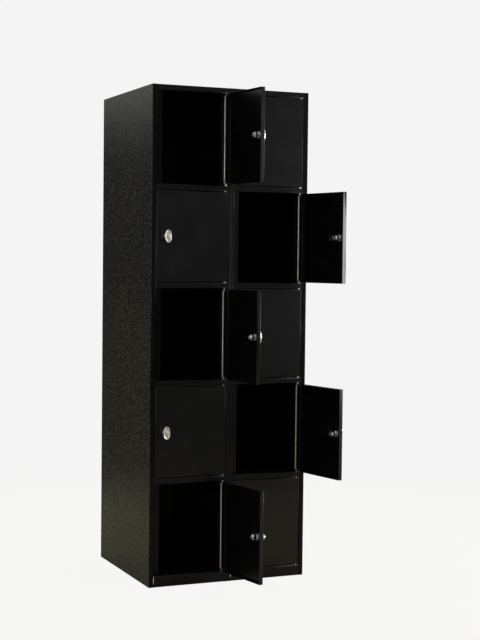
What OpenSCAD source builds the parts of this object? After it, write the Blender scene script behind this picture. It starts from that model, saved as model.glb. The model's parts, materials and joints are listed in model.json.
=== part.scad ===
// Locker cabinet with ten lockable compartments, two columns by five rows.
// Folded sheet steel carcass, ten inset tray doors on cranked pivot rods,
// and an oval turn lock with a cam on every door.
// Millimetres. X runs to the right, Y into the cabinet, Z up.
// The origin is the centre of the cabinet's underside; the doors face -Y.

/* [Cabinet] */
// Overall width
cabinet_w = 615; // [520:5:800]
// Overall depth
cabinet_d = 555; // [350:5:700]
// Overall height
cabinet_h = 1800; // [1500:10:2100]
// Height of the top rail's face
top_rail_h = 20; // [14:1:40]
// Height of the face of the rails between the rows
rail_h = 20; // [14:1:40]
// Height of the face of the rail at the foot
base_h = 40; // [20:1:100]
// Width of the outer stiles
side_stile_w = 18; // [14:1:30]
// Width of the stile between the columns
centre_stile_w = 23; // [18:1:40]

/* [Sheet metal] */
// Thickness of the carcass sheet
sheet_t = 1; // [0.7:0.1:1.5]
// Inside radius of every fold
fold_r = 1; // [0.6:0.1:2]
// Depth of a stile's return on the lock side
lock_return = 18; // [17:0.5:24]
// Depth of a stile's return on the hinge side
hinge_return = 21; // [20:0.5:28]
// Width of the stop flange behind a door
stop_w = 25; // [12:1:28]
// Depth of a rail's lower flange
rail_flange = 24; // [16:1:40]
// Height of the lip at the back of a rail's lower flange
rail_lip = 8; // [5:1:12]
// Height of the welding flanges on shelves, roof and floor
weld_flange = 12; // [8:1:13]
// Width of the rear flange on the side panels
rear_flange = 15; // [8:1:30]
// Gap at a joint between a rail and a stile
seam = 0.3; // [0.1:0.1:0.5]
// Width of the flange under a side panel
foot_flange = 15; // [8:1:30]
// Width of the bearer under the floor
bearer_w = 60; // [30:5:120]
// Distance between the wall fixing holes, side to side
fixing_pitch = 300; // [200:10:360]
// Radius of a wall fixing hole
fixing_r = 4.5; // [3:0.5:6]

/* [Doors] */
// Thickness of the door tray
door_t = 15.5; // [14.5:0.5:16]
// Gap between a door and the stiles
door_gap_x = 2; // [1.5:0.1:3]
// Gap between a door and the rails
door_gap_z = 2.5; // [1.5:0.1:4]
// Set-back of the door's face from the frame's face
door_inset = 0.5; // [0:0.1:1]
// Distance of the pivot from the door's hinge edge
pivot_a = 8.5; // [7.5:0.5:9]
// Distance of the pivot behind the door's face
pivot_b = 5.5; // [5:0.1:6]
// Distance of the stiffener's upstand from the pivot
stiffener_x = 22; // [18:1:40]
// Width of the stiffener's foot
stiffener_w = 10; // [6:1:14]
// Height of the stiffener's upstand
stiffener_h = 6; // [4:1:9]
// Distance of the stiffener's ends from the door's ends
stiffener_end = 9; // [4:1:30]

/* [Hinge rods] */
// Radius of the pivot rod
rod_r = 3; // [2.5:0.1:3.4]
// Offset of the rod's long middle from the pivot
rod_offset = 4; // [3:0.5:4.5]
// Running clearance of a pivot, on the radius
pivot_clear = 0.05; // [0.02:0.01:0.1]
// Depth that a pivot reaches into its rail
pivot_reach = 5; // [3:0.5:8]
// Height inside the door at which the crank starts
crank_start = 5; // [5:0.5:12]
// Height of the crank
crank_h = 4; // [4:0.5:12]
// Radius of the washer under the door
washer_r = 4.8; // [4.2:0.1:5]

/* [Locks] */
// Distance of the lock from the door's free edge
lock_offset = 38; // [38:1:44]
// Width of the oval knob
knob_w = 26; // [20:1:30]
// Length of the oval knob
knob_l = 47; // [40:1:60]
// Distance of the knob's face from the door
knob_proud = 19; // [15:1:25]
// Thickness of the knob's head
knob_head_t = 10; // [6:1:12]
// Set-back of the knob's neck from the edge of its head
knob_skirt = 4.5; // [3:0.5:6]
// Width of the raised rim on the knob's face
knob_rim = 2.5; // [1.5:0.5:4]
// Depth of the knob's face below its rim
knob_recess = 0.8; // [0.4:0.1:2]
// Width of the keyway
key_w = 1.4; // [1:0.1:2]
// Depth of the keyway
key_depth = 4; // [2:0.5:6]
// Thickness of the collar under the knob
collar_t = 2; // [1:0.5:3]
// Radius of the threaded barrel
barrel_r = 9.5; // [8:0.5:10]
// Radius of the turning spindle
spindle_r = 6; // [5:0.5:7]
// Radius of the key plug in the knob's face
plug_r = 6; // [5:0.5:7]
// Width across the flats of the fixing nut
nut_af = 24; // [20:1:24]
// Thickness of the fixing nut
nut_t = 6; // [4:0.5:8]
// Length of the barrel behind the door's face
barrel_l = 11; // [9:0.5:12]
// Radius of the cam's hub
hub_r = 11.5; // [9:0.5:12]
// Reach of the cam from the lock's axis
cam_reach = 38; // [30:1:38]
// Width of the cam
cam_w = 20; // [12:1:22]
// Thickness of the cam
cam_t = 2.5; // [2:0.5:3]
// Distance of the cam's tip behind the door's face
cam_depth = 18.5; // [18:0.1:24]
// Step in the cam between its hub and its tip
cam_step = 2; // [1:0.5:4]
// Radius of the cap screw that holds the cam
cap_r = 9; // [7:0.5:10]
// Height of the cap screw's head
cap_h = 5; // [3:0.5:8]

/* [Pose] */
// Opening angle of the doors of the left column, top to bottom
left_open = [96, 0, 94.5, 0, 99];
// Opening angle of the doors of the right column, top to bottom
right_open = [0, 101.5, 0, 100.5, 0];
// Angle of the cams of the left column, 0 to the hinge and 90 up
left_cam = [0, 0, 0, 0, 90];
// Angle of the cams of the right column
right_cam = [0, 0, 0, 35, 0];

/* [Hidden] */
rows = 5;
columns = 2;
t = sheet_t;
// Every circle here is a true circle
$fn = 48;

// Opening and door sizes
open_w = cabinet_w / 2 - side_stile_w - centre_stile_w / 2;
row_pitch = (cabinet_h - top_rail_h - base_h + rail_h) / rows;
open_h = row_pitch - rail_h;
door_w = open_w - 2 * door_gap_x;
door_h = open_h - 2 * door_gap_z;
fold_out = fold_r + t;
inner_d = cabinet_d - 2 * t;
bay_w = cabinet_w / 2 - 2 * t - seam / 2;
notch_y = hinge_return + 1;
notch_clear = 1;
lock_x = -(door_w - pivot_a) + lock_offset;
lock_z = door_h / 2;
plate_d = cam_depth + cam_step;
elbow_r = rod_r + 0.1;
spindle_square = spindle_r * 1.3;
oval_sides = 60;

// Left edge of a column's opening, and the inner face of its left wall
function open_x(c) = c == 1 ? side_stile_w : (cabinet_w + centre_stile_w) / 2;
function bay_x(c) = t + (c - 1) * (cabinet_w + seam) / 2;
// Underside and top of the opening of a row, counted from the top
function open_top(r) = cabinet_h - top_rail_h - (r - 1) * row_pitch;
function open_low(r) = open_top(r) - open_h;
function pivot_x(c) = open_x(c) + open_w - door_gap_x - pivot_a;
function pivot_y() = door_inset + pivot_b;
function open_angle(r, c) = c == 1 ? left_open[r - 1] : right_open[r - 1];
function cam_angle(r, c) = c == 1 ? left_cam[r - 1] : right_cam[r - 1];
function tag(r, c) = str("_r", r, "c", c);
function unit(v) = v / norm(v);

DOOR_PARTS = ["door", "hinge_rod", "lock_body", "lock_knob", "lock_cam"];

// ---- Shared shapes ----

// Moves a shape from the frame's front left corner to the cabinet's own origin
module in_cabinet() {
    translate([-cabinet_w / 2, -cabinet_d / 2, 0]) children();
}

// Quarter of a square, from a bend's centre out past its corner, less the bend's circle
module bend_corner(centre, before, after, side, r) {
    difference() {
        polygon([
            centre, centre - side * after, centre + side * (before - after), centre + side * before
        ]);
        translate(centre) circle(r);
    }
}

// Section of a sheet folded square at each inner point of its centre line
module folded(points) {
    last = len(points) - 1;
    difference() {
        union() {
            for (i = [0 : last - 1]) {
                along = unit(points[i + 1] - points[i]);
                side = [-along[1], along[0]] * t / 2;
                a = points[i] - (i > 0 ? t / 2 : 0) * along;
                b = points[i + 1] + (i < last - 1 ? t / 2 : 0) * along;
                polygon([a + side, b + side, b - side, a - side]);
            }
            for (i = [1 : last - 1]) {
                before = unit(points[i] - points[i - 1]);
                after = unit(points[i + 1] - points[i]);
                centre = points[i] + (fold_r + t / 2) * (after - before);
                bend_corner(centre, before, after, fold_r + t / 2, fold_r);
            }
        }
        for (i = [1 : last - 1]) {
            before = unit(points[i] - points[i - 1]);
            after = unit(points[i + 1] - points[i]);
            centre = points[i] + (fold_r + t / 2) * (after - before);
            bend_corner(centre, before, after, fold_out + t, fold_out);
        }
    }
}

// Extrudes a section drawn in Y and Z along X
module along_x(x0, x1) {
    translate([x0, 0, 0]) rotate([90, 0, 90]) linear_extrude(x1 - x0) children();
}

// Rectangle from the origin with its two front corners rounded
module front_rounded(w, d, r) {
    translate([r, 0]) square([w - 2 * r, d]);
    translate([0, r]) square([w, d - r]);
    for (x = [r, w - r]) translate([x, r]) circle(r);
}

// Ellipse w wide and l long
module oval(w, l) {
    polygon([
        for (i = [0 : oval_sides - 1]) let (a = i * 360 / oval_sides) [w / 2 * cos(a), l / 2 * sin(a)]
    ]);
}

// ---- Carcass ----

// Openings cut in a stop flange, fold and all, where the rails pass
module rail_notches(stile_w, return_d) {
    bands = concat(
        [[-1, base_h + notch_clear], [open_top(1) - notch_clear, cabinet_h]],
        [for (r = [1 : rows - 1]) [open_top(r + 1) - notch_clear, open_low(r) + notch_clear]]
    );
    for (band = bands)
        translate([stile_w - 2 * t, return_d - fold_out - seam, band[0]])
            cube([stop_w + 3 * t, notch_y, band[1] - band[0]]);
}

// Outer wall, from its rear flange round to its stile, return and stop flange
module side_panel(return_d) {
    foot_y = notch_y + fold_out;
    difference() {
        union() {
            linear_extrude(cabinet_h - t) folded([
                [rear_flange, cabinet_d - t / 2],
                [t / 2, cabinet_d - t / 2],
                [t / 2, t / 2],
                [side_stile_w - t / 2, t / 2],
                [side_stile_w - t / 2, return_d - t / 2],
                [side_stile_w + stop_w, return_d - t / 2]
            ]);
            // Flange that the wall stands on
            translate([t / 2, foot_y, 0]) cube([foot_flange - t / 2, inner_d - foot_y - fold_out, t]);
        }
        rail_notches(side_stile_w, return_d);
    }
}

module side_panel_left() {
    color("dimgray") in_cabinet() side_panel(lock_return);
}

module side_panel_right() {
    color("dimgray") in_cabinet() translate([cabinet_w, 0, 0]) mirror([1, 0, 0])
        side_panel(hinge_return);
}

// One skin of the wall between the columns, folded out to half of the stile
module centre_skin(return_d) {
    half = centre_stile_w / 2;
    wall_x = (seam + t) / 2;
    difference() {
        linear_extrude(cabinet_h - t) folded([
            [wall_x, inner_d],
            [wall_x, t / 2],
            [half - t / 2, t / 2],
            [half - t / 2, return_d - t / 2],
            [half + stop_w, return_d - t / 2]
        ]);
        rail_notches(half, return_d);
        // The wall stands on the floor behind the stile
        translate([-1, notch_y, -1]) cube([half, cabinet_d, base_h + 1]);
    }
}

module centre_wall() {
    color("dimgray") in_cabinet() translate([cabinet_w / 2, 0, 0]) {
        centre_skin(lock_return);
        mirror([1, 0, 0]) centre_skin(hinge_return);
    }
}

module back_panel() {
    fixing_x = cabinet_w / 2 - fixing_pitch / 2;
    color("dimgray") in_cabinet() difference() {
        translate([fold_out, inner_d, 0]) cube([cabinet_w - 2 * fold_out, t, cabinet_h - t]);
        for (x = [fixing_x, cabinet_w - fixing_x], r = [1, rows])
            translate([x, inner_d - 1, open_low(r) + open_h / 2])
                rotate([-90, 0, 0]) cylinder(r = fixing_r, h = t + 2);
    }
}

// Section of a rail that continues into a level sheet, with its foot at Z = 0
module rail_section(face_h, sheet_end) {
    folded([
        [sheet_end, face_h - t / 2],
        [t / 2, face_h - t / 2],
        [t / 2, t / 2],
        [rail_flange - t / 2, t / 2],
        [rail_flange - t / 2, rail_lip]
    ]);
}

// Hole for a door's pivot, from z0 to z1
module pivot_hole(c, z0, z1) {
    translate([pivot_x(c), pivot_y(), z0]) cylinder(r = rod_r + pivot_clear, h = z1 - z0);
}

// Welding flanges that hang below a level sheet at its two sides and rear
module weld_flanges(x0, x1, top) {
    for (x = [x0, x1 - t])
        translate([x, notch_y + fold_out, top - weld_flange])
            cube([t, inner_d - notch_y - 2 * fold_out, weld_flange - t / 2]);
    translate([x0, inner_d - t, top - weld_flange]) cube([x1 - x0, t, weld_flange - t / 2]);
}

// Shelf of one column, with the rail below the doors of its row
module shelf(r, c) {
    x0 = bay_x(c);
    front_x0 = open_x(c) + seam;
    front_x1 = open_x(c) + open_w - seam;
    foot = open_top(r + 1);
    difference() {
        union() {
            translate([0, 0, foot]) along_x(front_x0, front_x1) rail_section(rail_h, notch_y + 1);
            translate([x0, notch_y, open_low(r) - t]) cube([bay_w, inner_d - notch_y, t]);
            weld_flanges(x0, x0 + bay_w, open_low(r));
        }
        pivot_hole(c, foot - 1, open_low(r) + 1);
    }
}

module shelf_pair(r) {
    color("dimgray") in_cabinet() for (c = [1 : columns]) shelf(r, c);
}

module roof_panel() {
    foot = open_top(1);
    lap = rail_flange;
    color("dimgray") in_cabinet() difference() {
        union() {
            translate([0, lap, cabinet_h - t]) cube([cabinet_w, cabinet_d - lap, t]);
            // Over the stiles the sheet runs to the front edge
            for (span = [[0, open_x(1) + seam], [open_x(1) + open_w - seam, open_x(2) + seam],
                         [open_x(2) + open_w - seam, cabinet_w]])
                translate([span[0], 0, cabinet_h - t]) cube([span[1] - span[0], lap + t, t]);
            for (c = [1 : columns])
                translate([0, 0, foot]) along_x(open_x(c) + seam, open_x(c) + open_w - seam)
                    rail_section(top_rail_h, lap + t);
            for (c = [1 : columns]) weld_flanges(bay_x(c), bay_x(c) + bay_w, cabinet_h);
        }
        for (c = [1 : columns]) pivot_hole(c, foot - 1, foot + t + 1);
    }
}

// Bearer across the underside, folded up to the floor at both sides
module bearer() {
    front = (cabinet_d - bearer_w + t) / 2;
    rear = (cabinet_d + bearer_w - t) / 2;
    along_x(foot_flange + seam, cabinet_w - foot_flange - seam) folded([
        [front, base_h - t / 2], [front, t / 2], [rear, t / 2], [rear, base_h - t / 2]
    ]);
}

module floor_panel() {
    color("dimgray") in_cabinet() difference() {
        union() {
            translate([t, notch_y, base_h - t]) cube([cabinet_w - 2 * t, inner_d - notch_y, t]);
            for (c = [1 : columns])
                along_x(open_x(c) + seam, open_x(c) + open_w - seam) rail_section(base_h, notch_y + 1);
            weld_flanges(t, cabinet_w - t, base_h);
            bearer();
        }
        for (c = [1 : columns]) pivot_hole(c, base_h - pivot_reach - 1, base_h + 1);
    }
}

// ---- Doors ----
// A door is drawn closed, with its pivot at the origin and its foot at Z = 0.

// Puts a door's piece in its opening, turned to its rest angle
module at_door(r, c) {
    in_cabinet() translate([pivot_x(c), pivot_y(), open_low(r) + door_gap_z])
        rotate([0, 0, open_angle(r, c)]) children();
}

// Solid with rounded front edges, inset by m on all sides but the back
module tray_block(m, back) {
    r = fold_out - m;
    intersection() {
        translate([-(door_w - pivot_a) + m, -pivot_b + m, 0])
            linear_extrude(door_h) front_rounded(door_w - 2 * m, back, r);
        translate([0, -pivot_b + m, m]) rotate([90, 0, 90]) translate([0, 0, -door_w])
            linear_extrude(2 * door_w) rotate([0, 0, -90]) mirror([1, 0, 0])
                front_rounded(door_h - 2 * m, back, r);
    }
}

module door(r, c) {
    foot_y = -pivot_b + t;
    stiffener_len = door_h - 2 * stiffener_end;
    color("#1c1c1c") at_door(r, c) difference() {
        union() {
            difference() {
                tray_block(0, door_t);
                tray_block(t, door_t);
            }
            // Stiffening angle beside the pivot rod
            translate([-stiffener_x, foot_y - t / 2, stiffener_end]) {
                cube([stiffener_w, 1.5 * t, stiffener_len]);
                cube([t, stiffener_h + t / 2, stiffener_len]);
            }
        }
        translate([0, 0, -1]) cylinder(r = rod_r + pivot_clear, h = door_h + 2);
        translate([lock_x, -pivot_b - 1, lock_z]) rotate([-90, 0, 0])
            cylinder(r = barrel_r + pivot_clear, h = t + 2);
    }
}

// End of the rod: the pivot, and the crank up to the rod's offset middle
module rod_end() {
    low = -door_gap_z - pivot_reach;
    lean = atan2(rod_offset, crank_h);
    translate([0, 0, low]) cylinder(r = rod_r, h = crank_start - low);
    translate([0, 0, crank_start]) {
        rotate([-lean, 0, 0]) cylinder(r = rod_r, h = norm([rod_offset, crank_h]));
        // Rounded elbows
        sphere(elbow_r);
        translate([0, rod_offset, crank_h]) sphere(elbow_r);
    }
}

module hinge_rod(r, c) {
    washer_h = door_gap_z - seam;
    color("darkkhaki") at_door(r, c) {
        for (end = [0, 1]) translate([0, 0, end * door_h]) mirror([0, 0, end]) rod_end();
        translate([0, rod_offset, crank_start + crank_h])
            cylinder(r = rod_r, h = door_h - 2 * (crank_start + crank_h));
        translate([0, 0, -washer_h]) difference() {
            cylinder(r = washer_r, h = washer_h);
            translate([0, 0, -1]) cylinder(r = rod_r + pivot_clear, h = washer_h + 2);
        }
    }
}

// ---- Locks ----
// A lock is drawn with its axis along Z, 0 at the door's face and + into the cabinet,
// with its long axis and the free edge of the door along -Y turned to the vertical.

module at_lock(r, c, turn) {
    at_door(r, c) translate([lock_x, -pivot_b, lock_z]) rotate([-90, 0, 0]) rotate([0, 0, -turn])
        children();
}

module lock_body(r, c) {
    color("silver") at_lock(r, c, 0) difference() {
        union() {
            translate([0, 0, -collar_t]) cylinder(r = barrel_r, h = barrel_l + collar_t);
            translate([0, 0, -collar_t]) cylinder(r = barrel_r + 2, h = collar_t);
            translate([0, 0, t]) cylinder(r = nut_af / 2 / cos(30), h = nut_t, $fn = 6);
        }
        translate([0, 0, -collar_t - 1])
            cylinder(r = spindle_r + pivot_clear, h = barrel_l + collar_t + 2);
    }
}

module lock_knob(r, c) {
    head = -knob_proud;
    neck = head + knob_head_t;
    color("gainsboro") at_lock(r, c, cam_angle(r, c)) difference() {
        union() {
            translate([0, 0, head]) linear_extrude(knob_head_t) oval(knob_w, knob_l);
            translate([0, 0, neck]) linear_extrude(-collar_t - seam - neck)
                oval(knob_w - 2 * knob_skirt, knob_l - 2 * knob_skirt);
            translate([0, 0, neck - 1]) cylinder(r = spindle_r, h = barrel_l + 1 - neck);
            translate([0, 0, barrel_l - 1]) linear_extrude(plate_d + cam_t + 1 - barrel_l)
                square(spindle_square, center = true);
        }
        // Recessed face, with the key plug standing in it
        difference() {
            translate([0, 0, head - 1]) linear_extrude(knob_recess + 1)
                oval(knob_w - 2 * knob_rim, knob_l - 2 * knob_rim);
            translate([0, 0, head - 2]) cylinder(r = plug_r, h = knob_recess + 3);
        }
        // Keyway, a little shorter than the plug is wide
        translate([0, 0, head - 1]) linear_extrude(key_depth + 1)
            square([key_w, 1.2 * plug_r], center = true);
    }
}

module lock_cam(r, c) {
    hub_z = barrel_l + seam;
    hub_flats = 1.7 * hub_r;
    tip = cam_reach;
    corner = cam_w / 4;
    ramp_x0 = hub_r + 1;
    ramp_x1 = ramp_x0 + cam_step;
    cap_flange = 0.4 * cap_h;
    color("silver") at_lock(r, c, cam_angle(r, c)) {
        difference() {
            union() {
                translate([0, 0, hub_z]) linear_extrude(plate_d - hub_z) intersection() {
                    circle(hub_r);
                    square([2 * hub_r, hub_flats], center = true);
                }
                intersection() {
                    // Plan of the cam
                    translate([0, 0, hub_z]) linear_extrude(plate_d) {
                        circle(cam_w / 2);
                        translate([0, -cam_w / 2]) square([tip - corner, cam_w]);
                        translate([0, -cam_w / 2 + corner]) square([tip, cam_w - 2 * corner]);
                        for (y = [-1, 1] * (cam_w / 2 - corner))
                            translate([tip - corner, y]) circle(corner);
                    }
                    // Its stepped edge
                    rotate([90, 0, 0]) translate([0, 0, -cam_w]) linear_extrude(2 * cam_w) polygon([
                        [-cam_w, plate_d], [ramp_x0, plate_d],
                        [ramp_x1, cam_depth], [tip + 1, cam_depth],
                        [tip + 1, cam_depth + cam_t], [ramp_x1, cam_depth + cam_t],
                        [ramp_x0, plate_d + cam_t], [-cam_w, plate_d + cam_t]
                    ]);
                }
            }
            translate([0, 0, hub_z - 1]) linear_extrude(plate_d + cam_t)
                square(spindle_square + 2 * pivot_clear, center = true);
        }
        // Cap screw on the end of the spindle
        translate([0, 0, plate_d + cam_t]) difference() {
            union() {
                cylinder(r = cap_r, h = cap_flange);
                cylinder(r = 0.9 * cap_r, h = cap_h);
            }
            translate([0, 0, cap_flange]) cylinder(r = cap_r / 3, h = cap_h, $fn = 6);
        }
    }
}

// ---- Assembly ----
side_panel_left();
side_panel_right();
back_panel();
roof_panel();
floor_panel();
centre_wall();
for (r = [1 : rows - 1])
    shelf_pair(r);
for (r = [1 : rows], c = [1 : columns]) {
    door(r, c);
    hinge_rod(r, c);
    lock_body(r, c);
    lock_knob(r, c);
    lock_cam(r, c);
}
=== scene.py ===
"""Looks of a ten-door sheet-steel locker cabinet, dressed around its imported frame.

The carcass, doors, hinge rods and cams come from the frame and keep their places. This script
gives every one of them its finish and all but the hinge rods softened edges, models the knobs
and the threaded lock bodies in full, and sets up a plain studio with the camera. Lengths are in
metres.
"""

import json
import logging
import math
from collections.abc import Callable, Iterator, Mapping, Sequence
from dataclasses import dataclass, field
from enum import Enum, IntEnum
from typing import Any

import bmesh
import bpy
from mathutils import Matrix, Vector


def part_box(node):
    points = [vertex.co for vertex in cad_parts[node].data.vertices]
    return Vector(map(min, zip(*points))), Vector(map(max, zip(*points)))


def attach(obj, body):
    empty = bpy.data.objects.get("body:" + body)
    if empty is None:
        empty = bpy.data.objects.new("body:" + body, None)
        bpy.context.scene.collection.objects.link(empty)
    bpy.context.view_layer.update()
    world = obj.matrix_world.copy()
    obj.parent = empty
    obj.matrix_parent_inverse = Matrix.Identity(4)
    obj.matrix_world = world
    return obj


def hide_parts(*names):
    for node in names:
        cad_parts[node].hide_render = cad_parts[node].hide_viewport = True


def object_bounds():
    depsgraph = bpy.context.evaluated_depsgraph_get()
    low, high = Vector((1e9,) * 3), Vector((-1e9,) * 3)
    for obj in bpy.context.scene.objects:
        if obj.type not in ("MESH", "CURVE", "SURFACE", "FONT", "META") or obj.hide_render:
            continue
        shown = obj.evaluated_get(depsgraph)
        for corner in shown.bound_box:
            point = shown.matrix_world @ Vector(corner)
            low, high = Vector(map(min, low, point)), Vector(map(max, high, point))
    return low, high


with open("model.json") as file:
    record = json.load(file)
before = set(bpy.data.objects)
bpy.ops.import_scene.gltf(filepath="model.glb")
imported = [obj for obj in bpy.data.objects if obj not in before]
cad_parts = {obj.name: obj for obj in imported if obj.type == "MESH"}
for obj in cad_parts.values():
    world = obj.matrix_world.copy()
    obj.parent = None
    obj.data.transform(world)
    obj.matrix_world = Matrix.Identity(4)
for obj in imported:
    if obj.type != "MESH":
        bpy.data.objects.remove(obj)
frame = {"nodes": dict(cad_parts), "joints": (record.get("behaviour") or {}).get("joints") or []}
cad_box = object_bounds()

Colour = tuple[float, float, float]
log = logging.getLogger("locker")

ROWS = 5
COLUMNS = 2
MM = 0.001
CABINET_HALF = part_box("side_panel_right")[1].x


# ---------------------------------------------------------------- shader maths


class Value:
    """An output socket of a node tree that takes part in Python expressions."""

    def __init__(self, shader: "Shader", socket: bpy.types.NodeSocket) -> None:
        """Wraps one output socket.

        Args:
            shader: The tree that the socket belongs to.
            socket: The output socket.
        """
        self.shader = shader
        self.socket = socket

    def _math(self, operation: str, first: "Value | float", second: "Value | float") -> "Value":
        """Adds one Math node and returns its output."""
        inputs = {0: first, 1: second}
        return self.shader.value("ShaderNodeMath", 0, {"operation": operation}, inputs)

    def __add__(self, other: "Value | float") -> "Value":
        """self + other."""
        return self._math("ADD", self, other)

    def __radd__(self, other: float) -> "Value":
        """other + self."""
        return self._math("ADD", other, self)

    def __sub__(self, other: "Value | float") -> "Value":
        """self - other."""
        return self._math("SUBTRACT", self, other)

    def __rsub__(self, other: float) -> "Value":
        """other - self."""
        return self._math("SUBTRACT", other, self)

    def __mul__(self, other: "Value | float") -> "Value":
        """self * other."""
        return self._math("MULTIPLY", self, other)

    def __rmul__(self, other: float) -> "Value":
        """other * self."""
        return self._math("MULTIPLY", other, self)

    def __abs__(self) -> "Value":
        """The size of self, without its sign."""
        return self.shader.value("ShaderNodeMath", 0, {"operation": "ABSOLUTE"}, {0: self})

    def ramp(self, low: float, high: float) -> "Value":
        """Eases from 0 at low to 1 at high.

        Args:
            low: The value that becomes 0.
            high: The value that becomes 1.

        Returns:
            The eased value.
        """
        return self.shader.value(
            "ShaderNodeMapRange",
            0,
            {"interpolation_type": "SMOOTHSTEP", "clamp": True},
            {"Value": self, "From Min": low, "From Max": high},
        )


class Shader:
    """The node tree of one material or of the world."""

    def __init__(self, tree: bpy.types.NodeTree) -> None:
        """Empties the tree.

        Args:
            tree: The tree to build in.
        """
        self.tree = tree
        tree.nodes.clear()

    def node(
        self,
        kind: str,
        settings: Mapping[str, Any] | None = None,
        inputs: Mapping[int | str, Any] | None = None,
    ) -> bpy.types.Node:
        """Adds a node, sets it up and then fills or links its sockets.

        Args:
            kind: The node's type.
            settings: Its settings, such as a Math node's operation.
            inputs: A number, colour or Value for each input socket, by name or place.

        Returns:
            The node.
        """
        made = self.tree.nodes.new(kind)
        for name, setting in (settings or {}).items():
            setattr(made, name, setting)
        for key, given in (inputs or {}).items():
            if isinstance(given, Value):
                self.tree.links.new(given.socket, made.inputs[key])
            else:
                made.inputs[key].default_value = given
        return made

    def value(
        self,
        kind: str,
        output: int | str,
        settings: Mapping[str, Any] | None = None,
        inputs: Mapping[int | str, Any] | None = None,
    ) -> Value:
        """Adds a node and wraps one of its outputs.

        Args:
            kind: The node's type.
            output: The output socket, by name or place.
            settings: The node's settings.
            inputs: What its input sockets get.

        Returns:
            The wrapped output.
        """
        return Value(self, self.node(kind, settings, inputs).outputs[output])

    def position(self) -> Value:
        """The point on the surface in the piece's own frame, in metres."""
        return self.value("ShaderNodeTexCoord", "Object")

    def axes(self, vector: Value) -> tuple[Value, Value, Value]:
        """Splits a vector.

        Args:
            vector: The vector.

        Returns:
            Its X, Y and Z.
        """
        split = self.node("ShaderNodeSeparateXYZ", None, {0: vector})
        return tuple(Value(self, split.outputs[axis]) for axis in "XYZ")

    def stretched(self, scale: Colour) -> Value:
        """The point on the surface, scaled along each axis.

        Args:
            scale: The factor along X, Y and Z.

        Returns:
            The scaled point.
        """
        return self.value(
            "ShaderNodeVectorMath", 0, {"operation": "MULTIPLY"}, {0: self.position(), 1: scale}
        )

    def noise(self, size: float, detail: float = 2.0, point: Value | None = None) -> Value:
        """Smooth noise from 0 to 1.

        Args:
            size: The size of its blotches, in metres.
            detail: How many finer layers it has.
            point: Where it is read, or None for the point on the surface.

        Returns:
            The noise.
        """
        return self.value(
            "ShaderNodeTexNoise",
            0,
            None,
            {"Vector": point or self.position(), "Scale": 1.0 / size, "Detail": detail},
        )

    def blend(self, first: Colour | Value, second: Colour | Value, factor: Value) -> Value:
        """Mixes two colours.

        Args:
            first: The colour where factor is 0.
            second: The colour where factor is 1.
            factor: The mask.

        Returns:
            The mixed colour.
        """
        ends = [c if isinstance(c, Value) else (*c, 1.0) for c in (first, second)]
        return self.value(
            "ShaderNodeMix", 2, {"data_type": "RGBA"}, {0: factor, 6: ends[0], 7: ends[1]}
        )

    def bump(self, height: Value, distance: float, strength: float = 1.0) -> Value:
        """A normal bent by a height.

        Args:
            height: The height, from 0 to 1.
            distance: How tall a height of 1 is, in metres.
            strength: How much of it counts.

        Returns:
            The normal.
        """
        inputs = {"Height": height, "Distance": distance, "Strength": strength}
        return self.value("ShaderNodeBump", 0, None, inputs)

    def finish(self, settings: Mapping[str, Any]) -> None:
        """Closes a material with one Principled shader.

        Args:
            settings: What its sockets get.
        """
        shader = self.value("ShaderNodeBsdfPrincipled", 0, None, settings)
        self.node("ShaderNodeOutputMaterial", None, {"Surface": shader})


def material(name: str) -> tuple[bpy.types.Material, Shader]:
    """Makes an empty node material.

    Args:
        name: Its name.

    Returns:
        The material and its tree.
    """
    made = bpy.data.materials.new(name)
    made.use_nodes = True
    return made, Shader(made.node_tree)


# -------------------------------------------------------------------- finishes


@dataclass(frozen=True)
class Enamel:
    """Black baked enamel on sheet steel, with a fine orange peel and faint cloudy patches."""

    name: str
    base: Colour = (0.0026, 0.0026, 0.0028)
    cloud: Colour = (0.0042, 0.0042, 0.0042)
    cloud_size: float = 60 * MM
    cloud_edge: tuple[float, float] = (0.42, 0.70)
    peel_size: float = 1.8 * MM
    peel_height: float = 0.02 * MM
    roughness: float = 0.24
    drift: float = 0.08
    drift_size: float = 140 * MM
    specular: float = 0.45

    def colour(self, shader: Shader) -> Value:
        """The paint's colour.

        Args:
            shader: The tree to build it in.

        Returns:
            The colour.
        """
        clouds = shader.noise(self.cloud_size, 3.0).ramp(*self.cloud_edge)
        return shader.blend(self.base, self.cloud, clouds)

    def make(self) -> bpy.types.Material:
        """Builds the material.

        Returns:
            The material.
        """
        made, shader = material(self.name)
        patches = shader.noise(self.drift_size, 2.0)
        peel = shader.noise(self.peel_size, 1.0)
        shader.finish(
            {
                "Base Color": self.colour(shader),
                "Roughness": self.roughness + self.drift * (patches - 0.5),
                "Specular IOR Level": self.specular,
                "Normal": shader.bump(peel, self.peel_height),
            }
        )
        return made


@dataclass(frozen=True)
class DustyEnamel(Enamel):
    """The same enamel on a piece whose outermost skin has caught olive dust in its grain."""

    dust: Colour = (0.056, 0.054, 0.034)
    dust_size: float = 8.5 * MM
    dust_stretch: Colour = (1.0, 0.55, 1.0)
    dust_edge: tuple[float, float] = (0.40, 0.68)
    thinnest: float = 0.55
    thickening: float = 0.9
    thickening_size: float = 220 * MM
    skin: float = CABINET_HALF - 0.6 * MM
    skin_blend: float = 0.1 * MM

    def colour(self, shader: Shader) -> Value:
        """The paint's colour, dusty where the piece faces out to a side.

        Args:
            shader: The tree to build it in.

        Returns:
            The colour.
        """
        across = shader.axes(shader.position())[0]
        outer = abs(across).ramp(self.skin - self.skin_blend, self.skin + self.skin_blend)
        grain_point = shader.stretched(self.dust_stretch)
        grains = shader.noise(self.dust_size, 3.0, grain_point).ramp(*self.dust_edge)
        thickness = self.thinnest + self.thickening * shader.noise(self.thickening_size, 2.0)
        return shader.blend(super().colour(shader), self.dust, outer * grains * thickness)


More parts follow.
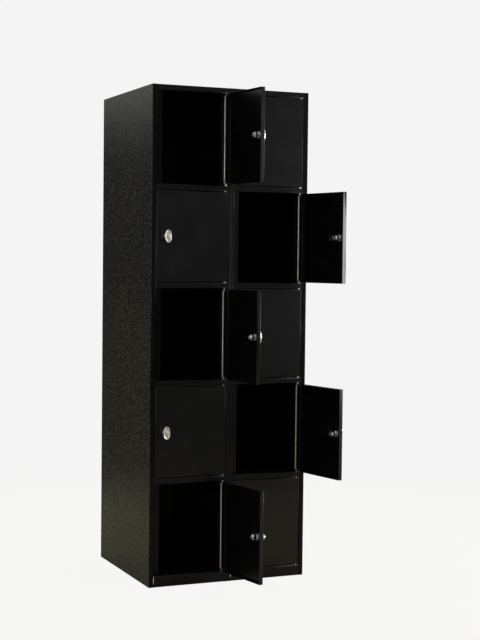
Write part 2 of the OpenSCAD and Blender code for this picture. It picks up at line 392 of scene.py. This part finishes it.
@dataclass(frozen=True)
class ZincWire:
    """Drawn wire with a dull yellowish zinc plate, streaked along its length."""

    name: str = "zinc_wire"
    bright: Colour = (0.80, 0.77, 0.68)
    dull: Colour = (0.48, 0.44, 0.35)
    roughness: float = 0.38
    dulling: float = 0.2
    streak_size: float = 1.2 * MM
    streak_stretch: Colour = (1.0, 1.0, 0.05)
    streak_height: float = 0.03 * MM
    blotch_size: float = 9 * MM
    wear_edge: tuple[float, float] = (0.42, 0.68)

    def make(self) -> bpy.types.Material:
        """Builds the material.

        Returns:
            The material.
        """
        made, shader = material(self.name)
        streaks = shader.noise(self.streak_size, 2.0, shader.stretched(self.streak_stretch))
        blotches = shader.noise(self.blotch_size, 3.0)
        wear = (0.5 * streaks + 0.5 * blotches).ramp(*self.wear_edge)
        shader.finish(
            {
                "Base Color": shader.blend(self.bright, self.dull, wear),
                "Metallic": 1.0,
                "Roughness": self.roughness + self.dulling * wear,
                "Normal": shader.bump(streaks, self.streak_height, 0.7),
            }
        )
        return made


@dataclass(frozen=True)
class Nickel:
    """Satin nickel plate over a casting, rubbed and faintly scratched."""

    name: str
    bright: Colour = (0.78, 0.76, 0.72)
    dull: Colour = (0.50, 0.48, 0.45)
    roughness: float = 0.30
    dulling: float = 0.16
    rubbed_size: float = 4 * MM
    scratch: float = 0.02 * MM
    scratch_size: float = 0.5 * MM
    scratch_stretch: Colour = (1.0, 0.08, 1.0)
    scratch_dulling: float = 0.08
    grime: float = 0.5
    grime_blend: float = 0.25

    def make(self) -> bpy.types.Material:
        """Builds the material.

        Returns:
            The material.
        """
        made, shader = material(self.name)
        rubbed = shader.noise(self.rubbed_size, 3.0)
        scratches = shader.noise(self.scratch_size, 2.0, shader.stretched(self.scratch_stretch))
        tarnish = rubbed.ramp(self.grime, self.grime + self.grime_blend)
        scratched = self.scratch_dulling * (scratches - 0.5)
        shader.finish(
            {
                "Base Color": shader.blend(self.bright, self.dull, tarnish),
                "Metallic": 1.0,
                "Roughness": self.roughness + self.dulling * tarnish + scratched,
                "Normal": shader.bump(scratches, self.scratch, 0.6),
            }
        )
        return made


# ---------------------------------------------------------------- lofted metal


Outline = Callable[[float], tuple[float, float]]


def oval(length: float, width: float) -> Outline:
    """An ellipse with its long axis along Y.

    Args:
        length: Its size along Y.
        width: Its size along X.

    Returns:
        The outline, as a point for each angle.
    """
    return lambda angle: (width / 2 * math.cos(angle), length / 2 * math.sin(angle))


def circle(radius: float) -> Outline:
    """A circle.

    Args:
        radius: Its radius.

    Returns:
        The outline.
    """
    return oval(2 * radius, 2 * radius)


def block(length: float, width: float) -> Outline:
    """A rectangle with its long side along Y.

    Args:
        length: Its size along Y.
        width: Its size along X.

    Returns:
        The outline.
    """

    def outline(angle: float) -> tuple[float, float]:
        x, y = math.cos(angle), math.sin(angle)
        reach = 1 / max(abs(x) / (width / 2), abs(y) / (length / 2))
        return reach * x, reach * y

    return outline


def hexagon(flats: float, cut: float) -> Outline:
    """A hexagon with corners on X, cut off by a circle.

    Args:
        flats: The distance between opposite sides.
        cut: The radius of the circle.

    Returns:
        The outline.
    """

    def outline(angle: float) -> tuple[float, float]:
        from_side = (angle % (math.pi / 3)) - math.pi / 6
        reach = min(flats / 2 / math.cos(from_side), cut)
        return reach * math.cos(angle), reach * math.sin(angle)

    return outline


def thread(
    radius: float,
    depth: float,
    pitch: float,
    height: float,
    slope: float = 2.4,
    crest: float = 0.7,
) -> Outline:
    """One slice of a screw thread.

    Args:
        radius: The radius of its crest.
        depth: How deep it is cut.
        pitch: The rise of one turn.
        height: Where the slice is taken.
        slope: How steep the flanks are.
        crest: How much of the profile stays at the crest before the flanks begin.

    Returns:
        The outline.
    """

    def outline(angle: float) -> tuple[float, float]:
        turns = (height / pitch - angle / math.tau) % 1.0
        reach = radius - depth * min(1.0, max(0.0, slope * abs(2 * turns - 1) - crest))
        return reach * math.cos(angle), reach * math.sin(angle)

    return outline


def toothed(radius: float, depth: float, teeth: int) -> Outline:
    """A circle with rounded teeth round its rim.

    Args:
        radius: The radius at the tips.
        depth: How deep the gaps are.
        teeth: How many teeth there are.

    Returns:
        The outline.
    """

    def outline(angle: float) -> tuple[float, float]:
        reach = radius - depth * (0.5 - 0.5 * math.cos(teeth * angle))
        return reach * math.cos(angle), reach * math.sin(angle)

    return outline


@dataclass(frozen=True)
class Ring:
    """One closed outline of a lofted piece, in millimetres, and the region that leads up to it."""

    outline: Outline
    height: float
    region: int = 0


@dataclass(frozen=True)
class Loft:
    """A piece skinned over a row of rings, either closed at its ends or joined round a bore."""

    name: str
    rings: Sequence[Ring]
    points: int = 48
    hollow: bool = False
    sharp: float = math.radians(42)

    def mesh(self) -> bpy.types.Mesh:
        """Builds the skin.

        Returns:
            The mesh.
        """
        shape = bmesh.new()
        angles = [math.tau * step / self.points for step in range(self.points)]
        loops = [
            [shape.verts.new((*ring.outline(angle), ring.height)) for angle in angles]
            for ring in self.rings
        ]
        bands = list(zip(self.rings[1:], loops, loops[1:]))
        if self.hollow:
            bands.append((self.rings[0], loops[-1], loops[0]))
        for ring, low, high in bands:
            for here in range(self.points):
                after = (here + 1) % self.points
                skin = shape.faces.new((low[here], low[after], high[after], high[here]))
                skin.material_index = ring.region
        if not self.hollow:
            for ring, loop in ((self.rings[0], loops[0]), (self.rings[-1], loops[-1])):
                shape.faces.new(loop).material_index = ring.region
        bmesh.ops.scale(shape, vec=(MM, MM, MM), verts=shape.verts)
        bmesh.ops.recalc_face_normals(shape, faces=shape.faces)
        for skin in shape.faces:
            skin.smooth = True
        for edge in shape.edges:
            edge.smooth = edge.calc_face_angle(0.0) < self.sharp
        made = bpy.data.meshes.new(self.name)
        shape.to_mesh(made)
        shape.free()
        return made


# ----------------------------------------------------------------- sheet parts


@dataclass
class EdgeSoftening:
    """A small bevel along the hard edges of a piece that the frame holds."""

    width: float = 0.25 * MM
    segments: int = 2
    angle: float = math.radians(35)
    weld: float = 0.002 * MM

    def apply(self, piece: bpy.types.Object) -> None:
        """Adds the modifiers.

        Args:
            piece: The piece whose edges are softened.
        """
        weld = piece.modifiers.new("weld", "WELD")
        weld.merge_threshold = self.weld
        bevel = piece.modifiers.new("edges", "BEVEL")
        bevel.width = self.width
        bevel.segments = self.segments
        bevel.limit_method = "ANGLE"
        bevel.angle_limit = self.angle
        bevel.harden_normals = True
        bevel.loop_slide = False


def dress(node: str, finish: bpy.types.Material, edges: EdgeSoftening | None = None) -> None:
    """Gives a piece of the frame its finish and, where asked, softer edges.

    Args:
        node: The piece's name.
        finish: Its material.
        edges: The bevel on its edges.
    """
    piece = frame["nodes"][node]
    piece.data.materials.clear()
    piece.data.materials.append(finish)
    if edges:
        edges.apply(piece)
    log.info("%s: %s", node, finish.name)


class Coat(Enum):
    """The enamels of the carcass."""

    CLEAN = Enamel("carcass_enamel", specular=0.34)
    DUSTY = DustyEnamel(
        "side_enamel", peel_size=5 * MM, peel_height=0.12 * MM, roughness=0.20, specular=0.19
    )


@dataclass
class Carcass:
    """The folded body of the cabinet: sides, back, roof, floor, centre wall and shelves."""

    coats: Mapping[str, Coat] = field(
        default_factory=lambda: {
            "side_panel_left": Coat.DUSTY,
            "side_panel_right": Coat.DUSTY,
            "back_panel": Coat.CLEAN,
            "roof_panel": Coat.CLEAN,
            "floor_panel": Coat.CLEAN,
            "centre_wall": Coat.CLEAN,
            **{f"shelf_pair_{level}": Coat.CLEAN for level in range(1, ROWS)},
        }
    )
    edges: EdgeSoftening = field(default_factory=EdgeSoftening)

    def dress(self) -> None:
        """Finishes every sheet of the carcass."""
        finishes = {coat: coat.value.make() for coat in Coat}
        for name, coat in self.coats.items():
            dress(name, finishes[coat], self.edges)


def places() -> Iterator[str]:
    """The tags of the ten compartments, row by row."""
    for row in range(1, ROWS + 1):
        for column in range(1, COLUMNS + 1):
            yield f"r{row}c{column}"


@dataclass
class Doors:
    """The ten tray doors and their hinge rods."""

    enamel: Enamel = Enamel("door_enamel", roughness=0.22)
    wire: ZincWire = ZincWire()
    edges: EdgeSoftening = field(default_factory=EdgeSoftening)

    def dress(self) -> None:
        """Finishes the doors and rods."""
        enamel = self.enamel.make()
        wire = self.wire.make()
        for tag in places():
            dress(f"door_{tag}", enamel, self.edges)
            dress(f"hinge_rod_{tag}", wire)


# ----------------------------------------------------------------------- locks


class LockFace(IntEnum):
    """The regions of a lock's parts, each a material place of its mesh."""

    PLATE = 0
    RECESS = 1
    PLUG = 2
    KEYWAY = 3


def lock_places(tag: str) -> tuple[Matrix, Matrix]:
    """Where a lock sits: +Z runs from the door's face into the cabinet, +Y along the knob.

    Args:
        tag: The compartment's tag.

    Returns:
        The place of the lock body, and that of the knob, which also turns in it.
    """
    joints = {joint["name"]: joint for joint in frame["joints"]}
    swing, turn = joints[f"door_swing_{tag}"], joints[f"lock_turn_{tag}"]
    opened, turned = (-math.radians(joint["range_deg"][0]) for joint in (swing, turn))
    body = (
        Matrix.Translation(turn["pos_m"])
        @ Matrix.Rotation(opened, 4, "Z")
        @ Matrix.Rotation(-math.pi / 2, 4, "X")
    )
    return body, body @ Matrix.Rotation(-turned, 4, "Z")


@dataclass(frozen=True)
class Knob:
    """The oval turn knob with its dished face, key plug and spindle, in millimetres."""

    length: float = 47.0
    width: float = 26.0
    face: float = -19.0
    recess_inset: float = 2.9
    recess_floor: float = -18.2
    plug: float = 6.0
    keyway: tuple[float, float] = (7.2, 1.4)
    keyway_depth: float = 4.0
    spindle: float = 6.0
    spindle_end: float = 11.0
    square: float = 7.8
    square_end: float = 23.0
    chamfer: float = 0.4
    neck_inset: float = 4.5
    neck_end: float = -2.3
    neck_edge: float = 0.3
    plug_gap: float = 0.5
    plug_edge: Sequence[tuple[float, float]] = (
        (0.2, -18.35),
        (0.0, -18.6),
        (-0.1, -18.9),
        (-0.4, -19.0),
    )
    skirt: Sequence[tuple[float, float]] = (
        (4.5, -8.4),
        (4.3, -8.9),
        (3.6, -9.2),
        (1.0, -9.3),
        (0.3, -9.6),
        (0.0, -10.4),
        (0.0, -17.2),
        (0.25, -18.1),
        (0.9, -18.8),
        (1.5, -19.0),
        (2.1, -18.85),
        (2.6, -18.4),
    )

    def rings(self) -> list[Ring]:
        """The knob's rings, from the tip of its square round to the bottom of the keyway."""

        def inset(by: float) -> Outline:
            return oval(self.length - 2 * by, self.width - 2 * by)

        square = block(self.square, self.square)
        tip = self.square - 2 * self.chamfer
        shaft = [
            Ring(block(tip, tip), self.square_end),
            Ring(square, self.square_end - self.chamfer),
            Ring(square, self.spindle_end),
            Ring(circle(self.spindle), self.spindle_end - 0.01),
            Ring(circle(self.spindle), self.neck_end),
            Ring(inset(self.neck_inset + self.neck_edge), self.neck_end),
            Ring(inset(self.neck_inset), self.neck_end - self.neck_edge),
        ]
        grip = [Ring(inset(by), height) for by, height in self.skirt]
        plug = [
            Ring(circle(self.plug + reach), height, LockFace.PLUG)
            for reach, height in self.plug_edge
        ]
        return [
            *shaft,
            *grip,
            Ring(inset(self.recess_inset), self.recess_floor, LockFace.PLATE),
            Ring(circle(self.plug + self.plug_gap), self.recess_floor, LockFace.RECESS),
            *plug,
            Ring(block(*self.keyway), self.face, LockFace.PLUG),
            Ring(block(*self.keyway), self.face + self.keyway_depth, LockFace.KEYWAY),
        ]


@dataclass(frozen=True)
class Housing:
    """The lock's threaded barrel with its collar, lock washer and fixing nut, in millimetres."""

    collar: float = 11.5
    collar_height: float = 2.0
    barrel: float = 9.5
    bore: float = 6.05
    end: float = 11.0
    sheet: float = 1.0
    pitch: float = 1.5
    thread_depth: float = 0.6
    steps: int = 8
    run_out: float = 0.5
    edge: float = 0.2
    collar_round: tuple[float, float] = (0.25, 0.8)
    washer: float = 1.1
    washer_radius: float = 13.0
    washer_edge: float = 0.15
    tooth_depth: float = 1.1
    teeth: int = 16
    washer_clearance: float = 0.05
    nut_flats: float = 24.0
    nut_top: float = 7.0
    nut_cut: float = 0.1
    nut_chamfer: float = 0.7
    nut_mouth: tuple[float, float] = (0.6, 0.5)
    nut_clearance: float = 0.02

    def barrel_rings(self) -> list[Ring]:
        """Collar, threaded barrel and, coming back, the bore."""
        front = -self.collar_height
        inner, outer = self.collar_round
        rise = self.pitch / self.steps
        count = int((self.end - self.run_out - self.sheet) / rise)
        heights = [self.sheet + rise * step for step in range(count + 1)]
        return [
            Ring(circle(self.bore), front + self.edge),
            Ring(circle(self.bore + self.edge), front),
            Ring(circle(self.collar - outer), front),
            Ring(circle(self.collar - inner), front + inner),
            Ring(circle(self.collar), front + outer),
            Ring(circle(self.collar), 0.0),
            Ring(circle(self.barrel), 0.0),
            *(Ring(thread(self.barrel, self.thread_depth, self.pitch, z), z) for z in heights),
            Ring(circle(self.barrel - self.thread_depth - self.edge), self.end),
            Ring(circle(self.bore + self.edge), self.end),
            Ring(circle(self.bore), self.end - self.edge),
        ]

    def washer_rings(self) -> list[Ring]:
        """The toothed lock washer between the sheet and the nut."""
        low, high = self.sheet, self.sheet + self.washer
        hole = circle(self.barrel + self.washer_clearance)
        rim = toothed(self.washer_radius, self.tooth_depth, self.teeth)
        edge = toothed(self.washer_radius - self.washer_edge, self.tooth_depth, self.teeth)
        return [
            Ring(hole, low),
            Ring(edge, low),
            Ring(rim, low + self.washer_edge),
            Ring(rim, high - self.washer_edge),
            Ring(edge, high),
            Ring(hole, high),
        ]

    def nut_rings(self) -> list[Ring]:
        """The hexagon nut, chamfered on both faces."""
        low, high = self.sheet + self.washer, self.nut_top
        hole = circle(self.barrel + self.nut_clearance)
        face = hexagon(self.nut_flats, self.nut_flats / 2 - self.nut_cut)
        side = hexagon(self.nut_flats, self.nut_flats / math.sqrt(3) - self.nut_cut)
        mouth, mouth_depth = self.nut_mouth
        return [
            Ring(hole, low),
            Ring(face, low),
            Ring(side, low + self.nut_chamfer),
            Ring(side, high - self.nut_chamfer),
            Ring(face, high),
            Ring(circle(self.barrel + mouth), high),
            Ring(hole, high - mouth_depth),
        ]


@dataclass
class Locks:
    """The ten turn locks."""

    knob: Knob = Knob()
    housing: Housing = Housing()
    rim: Nickel = Nickel("knob_rim", bright=(0.86, 0.85, 0.82), roughness=0.32, grime=0.62)
    recess: Nickel = Nickel(
        "knob_recess", bright=(0.58, 0.54, 0.47), dull=(0.40, 0.36, 0.30), roughness=0.52
    )
    plug: Nickel = Nickel("key_plug", bright=(0.74, 0.71, 0.65), roughness=0.44)
    # Painted shade: the keyway's walls and floor get near-black metal, standing in for the shade
    # inside the narrow key slot.
    keyway: Nickel = Nickel(
        "keyway_painted_shade", bright=(0.03, 0.03, 0.03), dull=(0.02, 0.02, 0.02), roughness=0.6
    )
    works: Nickel = Nickel("lock_nickel", bright=(0.88, 0.90, 0.90), roughness=0.13, grime=0.6)
    nut_sharp: float = 0.5
    edges: EdgeSoftening = field(default_factory=lambda: EdgeSoftening(width=0.5 * MM, segments=3))

    def build(self) -> None:
        """Builds the knobs and lock bodies, and finishes the cams."""
        works = self.works.make()
        regions = {
            LockFace.PLATE: self.rim,
            LockFace.RECESS: self.recess,
            LockFace.PLUG: self.plug,
            LockFace.KEYWAY: self.keyway,
        }
        knob = Loft("knob", self.knob.rings(), points=64).mesh()
        for face in LockFace:
            knob.materials.append(regions[face].make())
        parts = {
            "lock_barrel": Loft("lock_barrel", self.housing.barrel_rings(), hollow=True).mesh(),
            "lock_washer": Loft("lock_washer", self.housing.washer_rings(), 96, True).mesh(),
            "lock_nut": Loft(
                "lock_nut", self.housing.nut_rings(), hollow=True, sharp=self.nut_sharp
            ).mesh(),
        }
        for mesh in parts.values():
            mesh.materials.append(works)
        for tag in places():
            still, turning = lock_places(tag)
            self.put(f"knob_{tag}", knob, turning, f"lock_{tag}", f"lock_knob_{tag}")
            for name, mesh in parts.items():
                self.put(f"{name}_{tag}", mesh, still, f"door_{tag}", f"lock_body_{tag}")
            dress(f"lock_cam_{tag}", works, self.edges)

    def put(self, name: str, mesh: bpy.types.Mesh, place: Matrix, body: str, node: str) -> None:
        """Puts a built piece on its body, in place of the frame's plain one.

        Args:
            name: The piece's name.
            mesh: Its mesh.
            place: Where it goes.
            body: The body it rides on.
            node: The frame's piece that it stands for.
        """
        piece = bpy.data.objects.new(name, mesh)
        piece.matrix_world = place
        bpy.context.scene.collection.objects.link(piece)
        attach(piece, body)
        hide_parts(node)
        log.info("%s on %s", name, body)


# ---------------------------------------------------------------------- studio


@dataclass(frozen=True)
class Softbox:
    """A rectangular lamp that the camera doesn't see."""

    name: str
    place: Vector
    aim: Vector
    width: float
    height: float
    radiance: float
    colour: Colour = (1.0, 1.0, 1.0)

    def build(self) -> None:
        """Makes the lamp."""
        lamp = bpy.data.lights.new(self.name, "AREA")
        lamp.shape = "RECTANGLE"
        lamp.size = self.width
        lamp.size_y = self.height
        lamp.energy = self.radiance * math.pi * self.width * self.height
        lamp.color = self.colour
        holder = bpy.data.objects.new(self.name, lamp)
        holder.location = self.place
        holder.rotation_euler = (self.aim - self.place).to_track_quat("-Z", "Y").to_euler()
        holder.visible_camera = False
        bpy.context.scene.collection.objects.link(holder)
        log.info("lamp %s", self.name)


@dataclass
class Studio:
    """The pale floor with a painted pool of light, the light all round and the lamps.

    The camera sees floor and surroundings white. The object sees them dimmer, as a room would
    be, apart from mirror_share of the white in its reflections.
    """

    floor_half: float = 40.0
    # Painted light: the floor's paint is a pool of light, bright near the cabinet and fading to
    # dim paint between the two distances of painted_light_pool.
    floor_painted_light: Colour = (0.40, 0.355, 0.24)
    floor_painted_falloff: Colour = (0.080, 0.078, 0.065)
    painted_light_pool: tuple[float, float] = (1.1, 3.0)
    floor_white: float = 1.0
    floor_cover: float = 0.9
    white: float = 0.905
    mirror_share: float = 0.04
    horizon: float = 0.12
    rear_horizon: float = 0.016
    overhead: float = 0.60
    rear_overhead: float = 0.75
    front_rise: tuple[float, float] = (0.15, 0.45)
    rear_rise: tuple[float, float] = (0.092, 0.132)
    rear_turn: tuple[float, float] = (-0.2, 0.5)
    lamps: Sequence[Softbox] = field(
        default_factory=lambda: [
            Softbox(
                "right_softbox",
                place=Vector((3.45, -2.31, 1.4)),
                aim=Vector((0, 0, 1.0)),
                width=2.2,
                height=1.7,
                radiance=10.0,
            ),
            Softbox(
                "left_softbox",
                place=Vector((-2.5, -3.0, 1.6)),
                aim=Vector((0, 0, 1.0)),
                width=0.4,
                height=2.0,
                radiance=7.0,
            ),
        ]
    )

    def build(self) -> None:
        """Makes the floor, the world and the lamps."""
        self.build_floor()
        self.build_world()
        for lamp in self.lamps:
            lamp.build()

    def seen(self, shader: Shader) -> Value:
        """How much of a ray belongs to the picture of the surroundings.

        Args:
            shader: The tree to build it in.

        Returns:
            1 for the camera and for glass, mirror_share for reflections, 0 for other light.
        """
        path = shader.node("ShaderNodeLightPath")
        camera, clear, mirror = (
            Value(shader, path.outputs[name])
            for name in ("Is Camera Ray", "Is Transmission Ray", "Is Glossy Ray")
        )
        return camera + clear + self.mirror_share * mirror

    def build_floor(self) -> None:
        """A pale floor that the camera sees almost white, with the cabinet's shadow on it; its
        paint holds a painted pool of light, bright and warm round the cabinet and dim further out.
        """
        half = self.floor_half
        mesh = bpy.data.meshes.new("floor")
        corners = [(-half, -half, 0), (half, -half, 0), (half, half, 0), (-half, half, 0)]
        mesh.from_pydata(corners, [], [(0, 1, 2, 3)])
        floor = bpy.data.objects.new("floor", mesh)
        floor.location.z = cad_box[0].z
        bpy.context.scene.collection.objects.link(floor)
        made, shader = material("floor_painted_light_pool")
        away = shader.value(
            "ShaderNodeVectorMath", "Value", {"operation": "LENGTH"}, {0: shader.position()}
        )
        # Painted light: the paint brightens towards the cabinet, a painted pool of light that
        # lights the cabinet's lower parts and shows in their reflections.
        colour = shader.blend(self.floor_painted_light, self.floor_painted_falloff, away.ramp(*self.painted_light_pool))
        paint = shader.value("ShaderNodeBsdfDiffuse", 0, None, {"Color": colour})
        glow = shader.value(
            "ShaderNodeEmission", 0, None, {"Color": (1, 1, 1, 1), "Strength": self.floor_white}
        )
        factor = self.floor_cover * self.seen(shader)
        mixed = shader.value("ShaderNodeMixShader", 0, None, {0: factor, 1: paint, 2: glow})
        shader.node("ShaderNodeOutputMaterial", None, {"Surface": mixed})
        mesh.materials.append(made)

    def build_world(self) -> None:
        """Light from all round: brighter overhead, dim low down, dimmest behind the cabinet."""
        world = bpy.data.worlds.new("studio")
        world.use_nodes = True
        bpy.context.scene.world = world
        shader = Shader(world.node_tree)
        _, depth, height = shader.axes(shader.value("ShaderNodeTexCoord", "Generated"))
        toward_rear = depth.ramp(*self.rear_turn)
        front = self.horizon + (self.overhead - self.horizon) * height.ramp(*self.front_rise)
        lift = self.rear_overhead - self.rear_horizon
        rear = self.rear_horizon + lift * height.ramp(*self.rear_rise)
        level = front + (rear - front) * toward_rear
        strength = level + (self.white - level) * self.seen(shader)
        glow = shader.value(
            "ShaderNodeBackground", 0, None, {"Color": (1, 1, 1, 1), "Strength": strength}
        )
        shader.node("ShaderNodeOutputWorld", None, {"Surface": glow})


@dataclass(frozen=True)
class Photographer:
    """The camera, where the photograph was taken from."""

    place: Vector = Vector((-1.9746, -4.8268, 1.1779))
    turn: float = 0.394
    tilt: float = -0.043
    roll: float = 0.010
    lens: float = 76.6
    sensor: float = 36.0
    shift: tuple[float, float] = (0.0483, -0.0019)

    def build(self) -> None:
        """Makes the camera and hands it to the scene."""
        data = bpy.data.cameras.new("camera")
        data.sensor_fit = "VERTICAL"
        data.sensor_height = self.sensor
        data.lens = self.lens
        data.shift_x, data.shift_y = self.shift
        camera = bpy.data.objects.new("camera", data)
        ahead = Vector(
            (
                math.sin(self.turn) * math.cos(self.tilt),
                math.cos(self.turn) * math.cos(self.tilt),
                math.sin(self.tilt),
            )
        )
        right = Vector((math.cos(self.turn), -math.sin(self.turn), 0.0))
        up = right.cross(ahead)
        right, up = (
            right * math.cos(self.roll) + up * math.sin(self.roll),
            up * math.cos(self.roll) - right * math.sin(self.roll),
        )
        camera.matrix_world = Matrix.Translation(self.place) @ Matrix(
            (right, up, -ahead)
        ).transposed().to_4x4()
        bpy.context.scene.collection.objects.link(camera)
        bpy.context.scene.camera = camera


def main() -> None:
    """Builds and dresses everything in order."""
    logging.basicConfig(level=logging.INFO, format="%(name)s: %(message)s")
    bpy.context.scene.view_settings.view_transform = "Standard"
    Photographer().build()
    Studio().build()
    Carcass().dress()
    Doors().dress()
    Locks().build()


if __name__ == "__main__":
    main()
